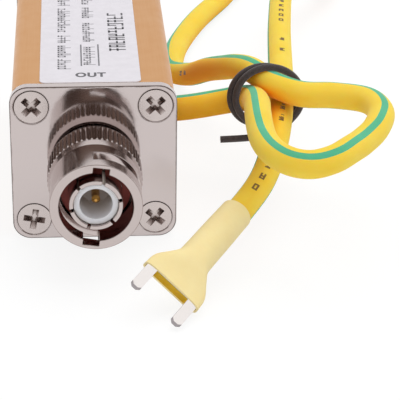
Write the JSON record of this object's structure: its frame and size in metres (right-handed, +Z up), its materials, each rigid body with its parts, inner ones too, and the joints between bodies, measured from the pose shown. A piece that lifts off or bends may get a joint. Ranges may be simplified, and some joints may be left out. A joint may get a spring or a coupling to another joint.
{
  "type": "coaxial lightning arrestor",
  "caption": "Square metal surge arrestor for coaxial cable, with a bayonet plug, a bayonet jack and a folded earth wire ending in a fork terminal.",
  "frame": {"origin": "middle of the resting face, half way between the plug's open end and the jack's open end", "axes": "+Y along the connectors' common axis from plug to jack, +Z up, +X to the side the earth wire leaves"},
  "size_m": [0.0712, 0.1659, 0.027],
  "materials": {
    "gold_anodised_aluminium": "satin gold anodised",
    "label_film": "white film",
    "nickel_plate": "polished nickel",
    "nickel_screw": "nickel plated",
    "nickel_brass": "bright nickel on turned brass",
    "spring_steel": "plain",
    "white_insulator": "smooth white",
    "gold_contact": "gold plated",
    "red_silicone": "dark red",
    "board_laminate": "green solder mask",
    "tube_ceramic": "ceramic with metal caps",
    "black_epoxy": "moulded",
    "resistor_enamel": "dipped",
    "black_rubber": "moulded",
    "bare_copper": "bare strands",
    "yellow_green_pvc": "yellow with a green stripe",
    "tie_cord": "round soft cord",
    "shrink_sleeve": "pale yellow shrink tube",
    "tinned_fork": "tin plated"
  },
  "bodies": {
    "root": {"housing": "gold_anodised_aluminium", "label": "label_film", "front_plate": "nickel_plate", "rear_plate": "nickel_plate", "front_screws": "nickel_screw", "rear_screws": "nickel_screw", "plug_body": "nickel_brass", "plug_lock_washer": "spring_steel", "plug_nut": "nickel_brass", "plug_outer_contact": "nickel_brass", "plug_insulator": "white_insulator", "plug_pin": "gold_contact", "plug_gasket": "red_silicone", "wave_washer": "spring_steel", "retaining_ring": "spring_steel", "jack_body": "nickel_brass", "jack_lock_washer": "spring_steel", "jack_nut": "nickel_brass", "jack_insulator": "white_insulator", "jack_contact": "gold_contact", "circuit_board": "board_laminate", "gas_tube": "tube_ceramic", "clamp_diodes": "black_epoxy", "series_resistors": "resistor_enamel", "wire_grommet": "black_rubber", "wire_core": "bare_copper", "earth_wire": "yellow_green_pvc", "wire_tie": "tie_cord", "fork_sleeve": "shrink_sleeve", "fork_terminal": "tinned_fork"},
    "nut_carriage": {"thrust_washer": "spring_steel"},
    "coupling": {"coupling_nut": "nickel_brass"}
  },
  "joints": [
    {"name": "nut_push", "type": "slide", "parent": "root", "child": "nut_carriage", "axis": [0, -1, 0], "range_m": [0, 0.0008], "stiffness_N_per_m": 4000, "deforming": ["wave_washer"]},
    {"name": "nut_turn", "type": "hinge", "parent": "nut_carriage", "child": "coupling", "pos_m": [0, -0.035, 0.0135], "axis": [0, -1, 0], "continuous": true}
  ]
}
